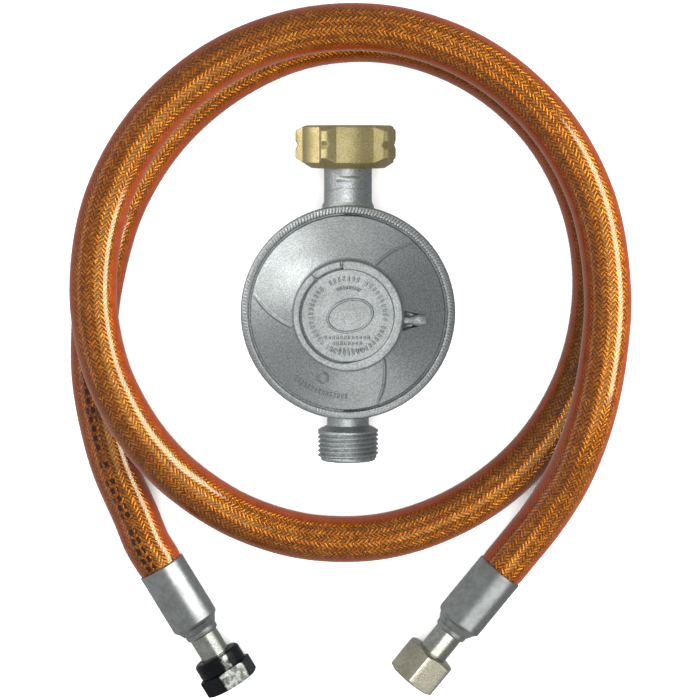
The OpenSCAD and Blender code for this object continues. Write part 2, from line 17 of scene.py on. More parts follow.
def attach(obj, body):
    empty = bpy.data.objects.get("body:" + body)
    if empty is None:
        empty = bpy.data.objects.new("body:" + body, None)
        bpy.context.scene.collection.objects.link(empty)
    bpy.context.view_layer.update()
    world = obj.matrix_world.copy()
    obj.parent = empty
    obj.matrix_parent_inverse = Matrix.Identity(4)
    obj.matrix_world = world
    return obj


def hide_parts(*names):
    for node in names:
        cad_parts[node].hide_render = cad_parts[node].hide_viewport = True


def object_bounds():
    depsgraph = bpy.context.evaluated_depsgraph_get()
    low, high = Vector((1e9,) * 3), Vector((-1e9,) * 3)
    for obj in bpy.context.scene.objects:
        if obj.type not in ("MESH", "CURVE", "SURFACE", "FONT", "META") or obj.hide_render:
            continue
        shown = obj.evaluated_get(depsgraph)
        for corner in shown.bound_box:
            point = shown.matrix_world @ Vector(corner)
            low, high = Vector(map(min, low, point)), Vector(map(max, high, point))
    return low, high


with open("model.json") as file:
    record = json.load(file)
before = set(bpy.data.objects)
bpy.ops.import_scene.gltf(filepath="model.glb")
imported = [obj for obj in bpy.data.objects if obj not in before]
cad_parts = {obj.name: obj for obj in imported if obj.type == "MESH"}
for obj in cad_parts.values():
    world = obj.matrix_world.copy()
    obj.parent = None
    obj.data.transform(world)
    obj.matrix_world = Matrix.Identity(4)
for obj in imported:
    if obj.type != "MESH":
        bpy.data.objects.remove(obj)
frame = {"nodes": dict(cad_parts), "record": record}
CAD_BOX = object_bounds()
NODES = frame["nodes"]
MM = 0.001

# ---------------------------------------------------------------- sizes shared with the CAD

PORT_Z = 17.8
RIM_R = 35
RIM_TOP = 30
LIP_R = 32.3
BOSS_R = 17.6
BOSS_TOP = 42.5
CAP_R = 14.85
CAP_FLOOR = 40.5
CAP_TOP = 41.7
DOME_EDGE_Z = 29.4
DOME_FOOT_Z = 37.4
VENT_Y = -2
NECK_R = 7.85
NECK_END = 50.2
NUT_REAR = 46.9
FIRST_LUG = -26.5

HOSE_R = 7.75
END_Z = 10
LEFT_MOUTH, LEFT_DIR, LEFT_TURN = (-62.7, -86.6), -59, 10.5
RIGHT_MOUTH, RIGHT_DIR, RIGHT_TURN = (51.1, -88.1), 231, 9
LEFT_NUT_REAR, LEFT_NUT_FRONT, LEFT_COLLAR = 35.05, 46.6, 5.6
RIGHT_NUT_REAR, RIGHT_NUT_FRONT = 36, 47.9
HEX_FLATS = 17
HEX_CORNER = HEX_FLATS / 2 / math.cos(math.radians(30))

# The hose's route between its ends as (angle, radius, height) about the loop's centre
LOOP_CENTRE = (0, 7)
ROUTE = [
    (227, 104.5, 9), (218, 99, 8), (210, 94.5, 8), (200, 90, 8), (190, 86, 8),
    (180, 83, 8), (160, 80, 8), (140, 79, 8), (120, 79.5, 8), (100, 81.5, 8),
    (80, 83, 8), (60, 83.5, 8), (40, 83.5, 8), (20, 83, 8), (0, 82.5, 8),
    (-20, 82.5, 8), (-40, 83, 8), (-60, 83.5, 8), (-80, 84.5, 8), (-98, 85, 8),
    (-114, 85, 9), (-128, 84.5, 12.5), (-140, 84, 17.5), (-152, 83.5, 22), (-164, 83.5, 24),
    (-180, 83.5, 24), (-200, 84, 23.5), (-220, 84.5, 23), (-240, 85, 23), (-260, 85.5, 23.5),
    (-280, 86, 24), (-300, 86, 24), (-320, 85.5, 24), (-340, 85, 24), (-360, 85, 24),
    (-374, 86.5, 24), (-385, 89.5, 23), (-394, 93, 20.5), (-402, 97, 15.5), (-410, 101, 11.5),
]

# ---------------------------------------------------------------- placing shapes

INLET = Matrix.Translation((0, 0, PORT_Z)) @ Matrix.Rotation(math.radians(-90), 4, "X")
OUTLET = Matrix.Translation((0, 0, PORT_Z)) @ Matrix.Rotation(math.radians(90), 4, "X")


def hose_end(mouth, direction):
    """Puts a shape built on +Z onto a hose end, from the ferrule's mouth towards the nut."""
    return (
        Matrix.Translation((mouth[0], mouth[1], END_Z))
        @ Matrix.Rotation(math.radians(direction), 4, "Z")
        @ Matrix.Rotation(math.radians(90), 4, "Y")
    )


LEFT_END = hose_end(LEFT_MOUTH, LEFT_DIR)
RIGHT_END = hose_end(RIGHT_MOUTH, RIGHT_DIR)


def end_point(mouth, direction, distance):
    angle = math.radians(direction)
    return (
        mouth[0] + distance * math.cos(angle),
        mouth[1] + distance * math.sin(angle),
        END_Z,
    )


# ---------------------------------------------------------------- mesh helpers

SHARP_ANGLE = 38
MERGE_DISTANCE = 1e-7


def smoothstep(low, high, value):
    t = np.clip((value - low) / (high - low), 0, 1)
    return t * t * (3 - 2 * t)


def rounded(outline):
    """Points (r, z) of an outline given as (r, z, corner radius), with its corners rounded."""
    steps = 3
    points = []
    count = len(outline)
    for i, (r, z, corner) in enumerate(outline):
        here = np.array((r, z), float)
        if corner <= 0:
            points.append(here)
            continue
        back = np.array(outline[i - 1][:2]) - here
        ahead = np.array(outline[(i + 1) % count][:2]) - here
        back_length, ahead_length = np.linalg.norm(back), np.linalg.norm(ahead)
        cosine = back @ ahead / (back_length * ahead_length)
        half = math.acos(max(-1.0, min(1.0, cosine))) / 2
        reach = min(corner / math.tan(half), 0.45 * back_length, 0.45 * ahead_length)
        start = here + back / back_length * reach
        end = here + ahead / ahead_length * reach
        for k in range(steps + 1):
            t = k / steps
            points.append((1 - t) ** 2 * start + 2 * t * (1 - t) * here + t * t * end)
    return np.array(points)


def arc(centre, radius, start, end, steps=8):
    """(r, z, 0) points of an arc, in degrees."""
    angles = np.radians(np.linspace(start, end, steps + 1))
    return [
        (centre[0] + radius * math.cos(a), centre[1] + radius * math.sin(a), 0)
        for a in angles
    ]


def quads(rows, columns, wrap_rows, wrap_columns):
    """Corner indices of a grid's quads, one grid row after another."""
    i = np.arange(rows if wrap_rows else rows - 1)
    j = np.arange(columns if wrap_columns else columns - 1)
    i, j = (a.ravel() for a in np.meshgrid(i, j, indexing="ij"))
    next_i, next_j = (i + 1) % rows, (j + 1) % columns
    corners = (i * columns + j, next_i * columns + j, next_i * columns + next_j, i * columns + next_j)
    return np.stack(corners, 1)


class Shape:
    """Vertices in millimetres and faces, gathered before they become one object."""

    def __init__(self):
        self.points = []
        self.faces = []
        self.count = 0

    def loft(self, sections, wrap_rows=True, wrap_columns=True, caps=False):
        """Adds the quads of a (rows, columns, 3) array of sections."""
        rows, columns = sections.shape[:2]
        found = quads(rows, columns, wrap_rows, wrap_columns) + self.count
        self.faces += found.tolist()
        if caps:
            first = self.count
            last = self.count + (rows - 1) * columns
            self.faces.append([first + k for k in range(columns)])
            self.faces.append([last + k for k in reversed(range(columns))])
        self.points.append(sections.reshape(-1, 3))
        self.count += rows * columns
        return self

    def polar(self, section, angles, place=None, closed=True):
        """Adds a shape whose (r, z) section is a function of the angle round +Z."""
        rings = []
        for angle in angles:
            rz = section(angle)
            r, z = rz[:, 0], rz[:, 1]
            rings.append(np.stack((r * math.cos(angle), r * math.sin(angle), z), 1))
        sections = np.array(rings)
        if place is not None:
            sections = sections @ np.array(place.to_3x3()).T + np.array(place.translation)
        return self.loft(sections, wrap_columns=closed)

    def turned(self, outline, place=None, steps=128, closed=True):
        """Adds a solid of revolution round +Z from an outline of (r, z, corner radius)."""
        ring = rounded(outline)
        angles = np.linspace(0, 2 * math.pi, steps, endpoint=False)
        return self.polar(lambda angle: ring, angles, place, closed)

    def ridge(self, path, width, height, surface, closed=False):
        """Adds a low raised strip along an (x, y) path that lies on surface(x, y)."""
        sink, flare = 0.3, 0.05
        path = np.array(path, float)
        if closed:
            along = np.roll(path, -1, 0) - np.roll(path, 1, 0)
        else:
            along = np.gradient(path, axis=0)
        along /= np.linalg.norm(along, axis=1)[:, None]
        across = np.stack((-along[:, 1], along[:, 0]), 1)
        half = width / 2
        profile = [
            (-half - flare, -sink), (-half, height * 0.1), (-half * 0.3, height),
            (half * 0.3, height), (half, height * 0.1), (half + flare, -sink),
        ]
        sections = []
        for point, side in zip(path, across):
            row = []
            for offset, lift in profile:
                x, y = point + side * offset
                row.append((x, y, surface(x, y) + lift))
            sections.append(row)
        return self.loft(np.array(sections), closed, True, caps=not closed)

    def build(self, name, material, sharp=SHARP_ANGLE):
        """Makes the object, in metres."""
        mesh = bpy.data.meshes.new(name)
        mesh.from_pydata((np.concatenate(self.points) * MM).tolist(), [], self.faces)
        clean(mesh)
        return finished(name, mesh, material, sharp)


def clean(mesh):
    """Merges points that coincide, such as at a pole, and turns every face outwards."""
    bm = bmesh.new()
    bm.from_mesh(mesh)
    bmesh.ops.remove_doubles(bm, verts=bm.verts, dist=MERGE_DISTANCE)
    bmesh.ops.dissolve_degenerate(bm, edges=bm.edges, dist=MERGE_DISTANCE)
    bmesh.ops.recalc_face_normals(bm, faces=bm.faces)
    bm.to_mesh(mesh)
    bm.free()


def finished(name, mesh, material, sharp=SHARP_ANGLE):
    """Object of a mesh, with smooth faces and crisp edges above an angle in degrees."""
    mesh.materials.clear()
    mesh.materials.append(material)
    mesh.polygons.foreach_set("use_smooth", [True] * len(mesh.polygons))
    mesh.set_sharp_from_angle(angle=math.radians(sharp))
    piece = bpy.data.objects.new(name, mesh)
    bpy.context.scene.collection.objects.link(piece)
    modifier = piece.modifiers.new("normals", "WEIGHTED_NORMAL")
    modifier.keep_sharp = True
    modifier.weight = 60
    return piece


def united(name, parts):
    """One object from several closed ones, joined where they overlap."""
    base = parts[0]
    for other in parts[1:]:
        modifier = base.modifiers.new("join", "BOOLEAN")
        modifier.operation = "UNION"
        modifier.solver = "EXACT"
        modifier.object = other
    graph = bpy.context.evaluated_depsgraph_get()
    mesh = bpy.data.meshes.new_from_object(base.evaluated_get(graph))
    material = base.data.materials[0]
    for part in parts:
        bpy.data.objects.remove(part)
    mesh.name = name
    return finished(name, mesh, material)


def belongs(piece, body, slot, *nodes):
    """Says which body a piece rides on and the CAD nodes it stands for. Its material slot is not used.
    """
    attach(piece, body)
    if nodes:
        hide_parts(*nodes)
    return piece


# ---------------------------------------------------------------- materials


class Shader:
    """A Principled material, with short calls for the nodes that drive it."""

    def __init__(self, name, constants):
        self.material = bpy.data.materials.new(name)
        self.material.use_nodes = True
        self.tree = self.material.node_tree
        self.surface = self.tree.nodes["Principled BSDF"]
        for key, value in constants.items():
            self.surface.inputs[key].default_value = value

    def feed(self, socket, value):
        if isinstance(value, bpy.types.NodeSocket):
            self.tree.links.new(value, socket)
        else:
            socket.default_value = value

    def drive(self, name, value):
        self.feed(self.surface.inputs[name], value)

    def node(self, kind, inputs=(), **settings):
        node = self.tree.nodes.new("ShaderNode" + kind)
        for key, value in settings.items():
            setattr(node, key, value)
        for key, value in dict(inputs).items():
            self.feed(node.inputs[key], value)
        return node

    def math(self, operation, a, b=0.0, c=0.0):
        node = self.node("Math", {0: a, 1: b, 2: c}, operation=operation)
        return node.outputs[0]

    def ramp(self, value, low, high, to_low=0.0, to_high=1.0):
        """Maps a value from one range onto another, smoothly and clamped."""
        inputs = {"Value": value, "From Min": low, "From Max": high, "To Min": to_low, "To Max": to_high}
        node = self.node("MapRange", inputs, interpolation_type="SMOOTHSTEP")
        return node.outputs[0]

    def mix(self, factor, a, b):
        node = self.node("Mix", data_type="RGBA")
        for index, value in zip((0, 6, 7), (factor, a, b)):
            self.feed(node.inputs[index], value)
        return node.outputs[2]

    def noise(self, per_mm, detail=4.0, roughness=0.55):
        """Noise on the piece's own coordinates, with about this many lumps a millimetre."""
        coordinates = self.node("TexCoord").outputs["Object"]
        where = self.node("Mapping", {"Vector": coordinates, "Scale": [1 / MM] * 3}).outputs[0]
        inputs = {"Vector": where, "Scale": per_mm, "Detail": detail, "Roughness": roughness}
        return self.node("TexNoise", inputs).outputs["Fac"]

    def bump(self, height, millimetres):
        inputs = {"Height": height, "Distance": millimetres * MM, "Strength": 1.0}
        self.drive("Normal", self.node("Bump", inputs).outputs[0])


def colour(code):
    """Linear colour from a hexadecimal sRGB code."""
    parts = [int(code[i : i + 2], 16) / 255 for i in (0, 2, 4)]
    linear = [c / 12.92 if c <= 0.04045 else ((c + 0.055) / 1.055) ** 2.4 for c in parts]
    return (*linear, 1.0)


def metal(name, light, dark, rough, grain, grain_depth, cloud=0.5):
    """A metal with cloudy tone, uneven gloss and fine surface grain."""
    shader = Shader(name, {"Metallic": 1.0})
    blotch = shader.noise(0.12, detail=5.0, roughness=0.6)
    fine = shader.noise(grain, detail=3.0, roughness=0.6)
    tone = shader.math("MULTIPLY_ADD", fine, 1 - cloud, shader.math("MULTIPLY", blotch, cloud))
    tone = shader.ramp(tone, 0.36, 0.64)
    shader.drive("Base Color", shader.mix(tone, colour(dark), colour(light)))
    shader.drive("Roughness", shader.ramp(blotch, 0.35, 0.65, rough[1], rough[0]))
    shader.bump(fine, grain_depth)
    return shader.material


def black_finish():
    """Glossy black, rubbed through to bare steel on one flat and a patch of the collar."""
    worn_flat, flat_reach, collar_reach, ragged = 160.5, 20.0, 1.0, 16.0
    shader = Shader("black_finish", {"Specular IOR Level": 0.25})
    axes = shader.node("SeparateXYZ", {0: shader.node("UVMap", uv_map="nut_polar").outputs[0]})
    off = shader.math("ABSOLUTE", shader.math("SUBTRACT", axes.outputs[0], worn_flat))
    on_collar = shader.math("LESS_THAN", axes.outputs[1], LEFT_NUT_REAR + LEFT_COLLAR)
    blotch = shader.noise(0.6, detail=5.0, roughness=0.65)
    reach = shader.math("MULTIPLY_ADD", on_collar, collar_reach - flat_reach, flat_reach)
    reach = shader.math("MULTIPLY_ADD", blotch, ragged, reach)
    worn = shader.ramp(shader.math("SUBTRACT", reach, off), -1.5, 4.0)
    steel = shader.mix(shader.ramp(blotch, 0.38, 0.6), colour("6C706C"), colour("BEC0B6"))
    black = shader.mix(blotch, colour("08090C"), colour("15171D"))
    shader.drive("Base Color", shader.mix(worn, black, steel))
    shader.drive("Metallic", shader.math("MULTIPLY", worn, 0.9))
    shader.drive("Roughness", shader.ramp(blotch, 0.35, 0.65, 0.45, 0.22))
    shader.bump(shader.math("MULTIPLY_ADD", worn, -0.4, blotch), 0.05)
    return shader.material


def rubber():
    shader = Shader("seal_rubber", {"Specular IOR Level": 0.4})
    grain = shader.noise(4.0)
    shader.drive("Base Color", shader.mix(grain, colour("1B1B1C"), colour("2B2A29")))
    shader.drive("Roughness", shader.ramp(grain, 0.3, 0.7, 0.55, 0.75))
    shader.bump(grain, 0.03)
    return shader.material


HOSE_GIRTH = 2 * math.pi * HOSE_R

# Yarns round the hose, their spacing along it in millimetres, and how far they stray
BRAID_AROUND = 32
BRAID_ALONG = 1.6
BRAID_STRAY = 0.4

# Where the print starts and ends along the hose, and its middle and half width round it
PRINT_START, PRINT_END = 22, 112
PRINT_MIDDLE, PRINT_HALF = HOSE_GIRTH - 2.6, 2.1


def hose_cover():
    """Clear tinted cover, smooth and glossy, over a braid of brown and gold yarns, with painted shading
    and glints on the yarns and a painted glow along the cover's sides.
    """
    constants = {
        "Metallic": 0.5,
        "Coat Weight": 1.0,
        "Coat Roughness": 0.16,
        "Coat IOR": 1.5,
        "Coat Tint": (1.0, 0.72, 0.38, 1.0),
        "Specular IOR Level": 0.2,
        "Sheen Weight": 0.08,
        "Sheen Roughness": 0.4,
        "Sheen Tint": (1.0, 0.4, 0.2, 1.0),
    }
    shader = Shader("braided_hose", constants)
    axes = shader.node("SeparateXYZ", {0: shader.node("UVMap", uv_map="hose_mm").outputs[0]})
    length, girth = axes.outputs[0], axes.outputs[1]
    along = shader.math("DIVIDE", length, 2 * BRAID_ALONG)
    along = shader.math("MULTIPLY_ADD", shader.noise(0.55, detail=2.0), BRAID_STRAY, along)
    around = shader.math("MULTIPLY", girth, BRAID_AROUND / (2 * HOSE_GIRTH))
    yarns = (shader.math("ADD", along, around), shader.math("SUBTRACT", along, around))
    waves = [shader.math("SINE", shader.math("MULTIPLY", yarn, 2 * math.pi)) for yarn in yarns]
    cells = [shader.math("FLOOR", shader.math("MULTIPLY", yarn, 2.0)) for yarn in yarns]
    # Each yarn goes over two of the others and then under two
    step = shader.math("FLOORED_MODULO", shader.math("SUBTRACT", *cells), 4.0)
    first_over = shader.math("LESS_THAN", step, 2.0)
    crowns = [shader.math("ABSOLUTE", wave) for wave in waves]
    weave = shader.math("MULTIPLY_ADD", shader.math("SUBTRACT", *crowns), first_over, crowns[1])

    patches = shader.noise(0.3, detail=3.0)
    gold = shader.mix(shader.ramp(patches, 0.35, 0.65), colour("A27520"), colour("C89C42"))
    # Painted glints: gold streaks along whichever yarn is on top, over a darker brown
    first, second = (painted_yarn_glints(shader, *pair) for pair in (yarns, yarns[::-1]))
    painted_glints = shader.mix(first_over, second, first)
    gold = shader.mix(shader.ramp(painted_glints, 0.36, 0.62), colour("7A5014"), gold)
    # Painted shade and highlight: each yarn is gold on its crown and dark brown in the dips beside it,
    # laid over the yarns' own tone
    braid = shader.mix(shader.ramp(weave, 0.0, 0.8), colour("522C0A"), gold)

    # Painted light: towards its sides, as seen from above, the cover is seen through its thickness and
    # hides the braid. The salmon glow of light through it is painted into the colour, strongest on the
    # upper sides
    sideways = shader.math("COSINE", shader.math("DIVIDE", girth, HOSE_R))
    painted_side_glow = shader.math(
        "MULTIPLY",
        shader.ramp(sideways, 0.76, 0.5),
        shader.ramp(sideways, -0.3, 0.3, 0.3, 0.8),
    )
    # Salmon colour of the painted glow through the cover's sides
    cover = shader.mix(patches, colour("A8482A"), colour("CC6A44"))
    seen = shader.mix(painted_side_glow, braid, cover)
    ink = printed(shader, length, girth)
    hidden = shader.math("MAXIMUM", ink, painted_side_glow)
    shader.drive("Base Color", shader.mix(ink, seen, colour("24150E")))
    shader.drive("Roughness", shader.ramp(patches, 0.3, 0.7, 0.26, 0.38))
    shader.bump(shader.math("MULTIPLY", weave, shader.math("SUBTRACT", 1.0, hidden)), 0.22)
    return shader.material


def painted_yarn_glints(shader, across, along):
    """Painted glints: noise drawn out along a yarn, about three streaks to its width."""
    drawn_out = 5.0
    across = shader.math("MULTIPLY", across, drawn_out)
    where = shader.node("CombineXYZ", {0: across, 1: along}).outputs[0]
    inputs = {"Vector": where, "Scale": 1.3, "Detail": 2.0, "Roughness": 0.6}
    return shader.node("TexNoise", inputs, noise_dimensions="2D").outputs["Fac"]


def printed(shader, length, girth):
    """Mask of a faded row of plain dark dashes near the left end, in place of the print."""
    pitch, rows_per_mm, middle, missing, ink = 3.1, 0.42, 0.42, 0.16, 0.92
    column = shader.math("DIVIDE", length, pitch)
    dice_inputs = {"W": shader.math("FLOOR", column)}
    dice = shader.node("TexWhiteNoise", dice_inputs, noise_dimensions="1D").outputs["Value"]
    row = shader.math("FRACT", shader.math("MULTIPLY_ADD", girth, rows_per_mm, dice))
    across = shader.math("ABSOLUTE", shader.math("SUBTRACT", girth, PRINT_MIDDLE))
    within = shader.math("ABSOLUTE", shader.math("SUBTRACT", shader.math("FRACT", column), middle))
    mask = shader.ramp(across, PRINT_HALF, PRINT_HALF - 0.3)
    for part in (
        shader.ramp(within, 0.34, 0.28),
        shader.ramp(row, 0.28, 0.4),
        shader.math("GREATER_THAN", dice, missing),
        shader.math("GREATER_THAN", length, PRINT_START),
        shader.math("LESS_THAN", length, PRINT_END),
    ):
        mask = shader.math("MULTIPLY", mask, part)
    return shader.math("MULTIPLY", mask, ink)


ZINC = metal("blasted_zinc", "CFD3D2", "A4A8A7", (0.38, 0.44), 2.2, 0.1, cloud=0.15)
BRASS = metal("satin_brass", "D8CB98", "B4A26A", (0.42, 0.52), 2.2, 0.08, cloud=0.3)
RUBBER = rubber()
FERRULE_STEEL = metal("ferrule_steel", "C2C6C4", "A8ABA8", (0.3, 0.38), 0.5, 0.01)
STEM_STEEL = metal("stem_steel", "CDD0CA", "A6A996", (0.2, 0.34), 0.8, 0.012)
PLAIN_STEEL = metal("plated_steel", "B4B6B8", "8C8E91", (0.25, 0.4), 2.0, 0.02)
SPRING_STEEL = metal("spring_steel", "7E8084", "55575B", (0.3, 0.45), 3.0, 0.02)
NICKEL = metal("warm_nickel", "E2DDC6", "BDB8A3", (0.25, 0.42), 1.4, 0.03)
BLACK_NUT = black_finish()
HOSE = hose_cover()

# ---------------------------------------------------------------- camera


def aim(thing, place, target, up=(0, 1, 0)):
    """Puts a camera or light at a place in millimetres, looking at a target."""
    back = (Vector(place) - Vector(target)).normalized()
    side = Vector(up).cross(back).normalized()
    turn = Matrix((side, back.cross(side), back)).transposed()
    thing.matrix_world = Matrix.Translation(Vector(place) * MM) @ turn.to_4x4()


def camera():
    """Nearly straight above the loop, tipped a few degrees towards the inlet."""
    target = Vector((0.66, -13.8, 10))
    distance = 900
    tip = math.radians(5)
    data = bpy.data.cameras.new("camera")
    data.sensor_width = 36
    data.lens = 138.86
    data.clip_start = 0.05
    data.clip_end = 20
    thing = bpy.data.objects.new("camera", data)
    bpy.context.scene.collection.objects.link(thing)
    aim(thing, target + distance * Vector((0, math.sin(tip), math.cos(tip))), target)
    bpy.context.scene.camera = thing


camera()

# ---------------------------------------------------------------- hose


def catmull_rom(p0, p1, p2, p3, steps):
    """Centripetal Catmull-Rom points from p1 up to, but not including, p2."""
    knots = [0.0]
    for a, b in ((p0, p1), (p1, p2), (p2, p3)):
        knots.append(knots[-1] + math.sqrt(np.linalg.norm(b - a)))

    def between(a, b, low, high, t):
        return ((high - t) * a + (t - low) * b) / (high - low)

    found = []
    for k in range(steps):
        t = knots[1] + (knots[2] - knots[1]) * k / steps
        a1 = between(p0, p1, knots[0], knots[1], t)
        a2 = between(p1, p2, knots[1], knots[2], t)
        a3 = between(p2, p3, knots[2], knots[3], t)
        b1 = between(a1, a2, knots[0], knots[2], t)
        b2 = between(a2, a3, knots[1], knots[3], t)
        found.append(between(b1, b2, knots[1], knots[2], t))
    return found


def hose_centreline():
    """Centres and radii of the hose's rings, from inside the left ferrule to inside the right."""
    spacing = 1.6
    controls = [end_point(LEFT_MOUTH, LEFT_DIR, d) for d in (-3, -9)]
    for angle, radius, height in ROUTE:
        a = math.radians(angle)
        x = LOOP_CENTRE[0] + radius * math.cos(a)
        y = LOOP_CENTRE[1] + radius * math.sin(a)
        controls.append((x, y, height))
    controls += [end_point(RIGHT_MOUTH, RIGHT_DIR, d) for d in (-8, -3)]
    controls = [np.array(p, float) for p in controls]
    controls = [2 * controls[0] - controls[1], *controls, 2 * controls[-1] - controls[-2]]
    free = []
    for i in range(1, len(controls) - 2):
        steps = max(3, round(np.linalg.norm(controls[i + 1] - controls[i]) / spacing))
        free += catmull_rom(*controls[i - 1 : i + 3], steps)
    free.append(controls[-2])

    grip = [(21, 6.9), (12, 6.9), (3, 6.9), (2, 7.05), (0, 7.5), (-1.5, 7.72)]
    left = [(end_point(LEFT_MOUTH, LEFT_DIR, d), r) for d, r in grip]
    right = [(end_point(RIGHT_MOUTH, RIGHT_DIR, d), r) for d, r in reversed(grip)]
    line = left + [(p, HOSE_R) for p in free] + right
    centres = np.array([p for p, r in line], float)
    radii = np.array([r for p, r in line])
    return centres, radii


def hose():
    """The hose's tube, with its length and girth in millimetres as its texture map."""
    sides = 64
    centres, radii = hose_centreline()
    tangents = np.gradient(centres, axis=0)
    tangents /= np.linalg.norm(tangents, axis=1)[:, None]
    side = np.cross(tangents, (0, 0, 1))
    side /= np.linalg.norm(side, axis=1)[:, None]
    up = np.cross(side, tangents)
    angles = np.linspace(0, 2 * math.pi, sides, endpoint=False)
    directions = (
        np.sin(angles)[None, :, None] * side[:, None, :]
        + np.cos(angles)[None, :, None] * up[:, None, :]
    )
    outer = centres[:, None, :] + radii[:, None, None] * directions
    piece = Shape().loft(outer, wrap_rows=False, caps=True).build("hose_tube", HOSE, 60)

    length = np.concatenate(([0], np.cumsum(np.linalg.norm(np.diff(centres, axis=0), axis=1))))
    layer = piece.data.uv_layers.new(name="hose_mm")
    girth_step = HOSE_GIRTH / sides
    for face in piece.data.polygons:
        rows = [piece.data.loops[k].vertex_index // sides for k in face.loop_indices]
        columns = [piece.data.loops[k].vertex_index % sides for k in face.loop_indices]
        crosses_seam = max(columns) - min(columns) > 1
        for k, row, column in zip(face.loop_indices, rows, columns):
            shifted = column + sides if crosses_seam and column == 0 else column
            layer.data[k].uv = (length[row], shifted * girth_step)
    return piece, centres, length[-1]


hose_tube, HOSE_PATH, HOSE_LENGTH = hose()
belongs(hose_tube, "hose_assembly", "hose_orange", "hose")

# ---------------------------------------------------------------- threads and hexagons


def thread_depth(angle, z, pitch, depth, hand=1):
    """Depth of a thread's V groove at an angle and height, with a flat between its turns."""
    slope, flat = 2.4, 0.2
    phase = (z / pitch - hand * angle / (2 * math.pi)) % 1.0
    return depth * np.clip(slope * np.abs(phase - 0.5) - flat, 0, 1)


def thread_levels(low, high, pitch):
    per_turn = 14
    return np.linspace(low, high, int((high - low) / pitch * per_turn))


def inner_thread(angle, low, high, minor, pitch, depth):
    """(r, z) points of a left-hand internal thread, from its high end to its low end."""
    z = thread_levels(low, high, pitch)[::-1]
    fade = smoothstep(low, low + 0.5, z)
    cut = depth - thread_depth(angle, z, pitch, depth, hand=-1)
    return np.stack((minor + cut * fade, z), 1)


def hex_angles(turn):
    """Angles round a hexagon, close together near its six corners."""
    spread = np.array([-30, -25, -20, -15, -10, -5, 0, 5, 10, 15, 20, 25])
    spread = np.concatenate((spread, [-29.4, -28.7, -27.8, 27.8, 28.7, 29.4]))
    centres = 30 + turn + 60 * np.arange(6)
    return np.radians(np.sort((centres[:, None] + spread[None, :]).ravel()))


def hex_radius(angle, turn):
    """Distance from the axis to a hexagon with softened corners."""
    corner, cut = 0.35, 0.12
    off = (math.degrees(angle) - turn) % 60 - 30
    flat = HEX_FLATS / 2 / math.cos(math.radians(off))
    limit = HEX_CORNER - cut
    blend = max(0.0, 1 - abs(flat - limit) / corner)
    return min(flat, limit) - blend * blend * corner / 4


def hex_side(angle, turn, rear, front, rear_cut, front_cut):
    """(r, z) points along a chamfered hexagon's side, from its rear to its front."""
    r = hex_radius(angle, turn)
    rear_r = HEX_CORNER - 2 * rear_cut
    front_r = HEX_CORNER - 2 * front_cut
    rear_z = rear + max(0.0, r - rear_r) / 2
    front_z = front - max(0.0, r - front_r) / 2
    rear_r, front_r = min(rear_r, r), min(front_r, r)
    ease = 0.12
    return [
        (rear_r - ease, rear), (rear_r + 0.02, rear + 0.05),
        (r - 0.04, rear_z - 0.02), (r, rear_z + ease),
        (r, front_z - ease), (r - 0.04, front_z + 0.02),
        (front_r + 0.02, front - 0.05), (front_r - ease, front),
    ]


# ---------------------------------------------------------------- regulator


def dome_z(r):
    """Height of the cover's cone at a distance from its axis."""
    return DOME_EDGE_Z + (DOME_FOOT_Z - DOME_EDGE_Z) * (LIP_R - r) / (LIP_R - BOSS_R)


def on_cone(x, y):
    return dome_z(math.hypot(x, y))


def bowl():
    """The cast bowl with both port necks; its rim is a piece of its own."""
    shell = Shape().turned(
        [(0, 0, 0), (20.6, 0, 0), *arc((21, 9.5), 9.5, -90, 0, 12), (30.5, 21, 1.5),
         (34.5, 25.4, 0.4), (34.5, 27, 0), (33.6, 27, 0), (33.6, 26, 0), (27.5, 26, 0),
         *arc((21.5, 9), 6, 0, -90), (0, 3, 0)],
        steps=144, closed=False,
    )
    inlet = Shape().turned(
        [(3, 28.3, 0), (8.5, 28.3, 0), (8.5, 34.6, 0.6), (NECK_R, 35.9, 0.8),
         (NECK_R, NECK_END, 0.35), (5.6, NECK_END, 0), (5.6, 36, 0), (3, 36, 0)],
        INLET, steps=96,
    )
    parts = [part.build("part", ZINC) for part in (shell, inlet)]
    parts.append(outlet_neck().build("part", ZINC))
    return united("bowl", parts)


def outlet_neck():
    """Outlet with its M20 x 1.5 thread, undercut and root flange."""
    pitch, depth, crest = 1.5, 0.85, 10
    start, end = 39.7, 49.1

    def section(angle):
        z = thread_levels(start, end, pitch)
        cut = thread_depth(angle, z, pitch, depth)
        lead = smoothstep(start, start + 0.9, z) * (1 - 0.85 * smoothstep(end - 0.9, end, z))
        r = crest - cut * lead - 0.9 * smoothstep(end - 1.0, end, z)
        root = [(4.2, 28.3), (7.9, 28.3), (7.9, 34.5), (7.7, 34.7), (6.95, 34.8), (6.9, 35.0),
                (6.9, 37.8), (7.0, 38.0), (9.5, 39.3), (9.9, 39.55)]
        mouth = [(8.9, 49.55), (8.6, 49.7), (6.1, 49.7), (5.8, 49.6), (5.6, 49.3),
                 (5.6, 31), (4.2, 31)]
        return np.concatenate((root, np.stack((r, z), 1), mouth))

    angles = np.linspace(0, 2 * math.pi, 144, endpoint=False)
    return Shape().polar(section, angles, OUTLET)


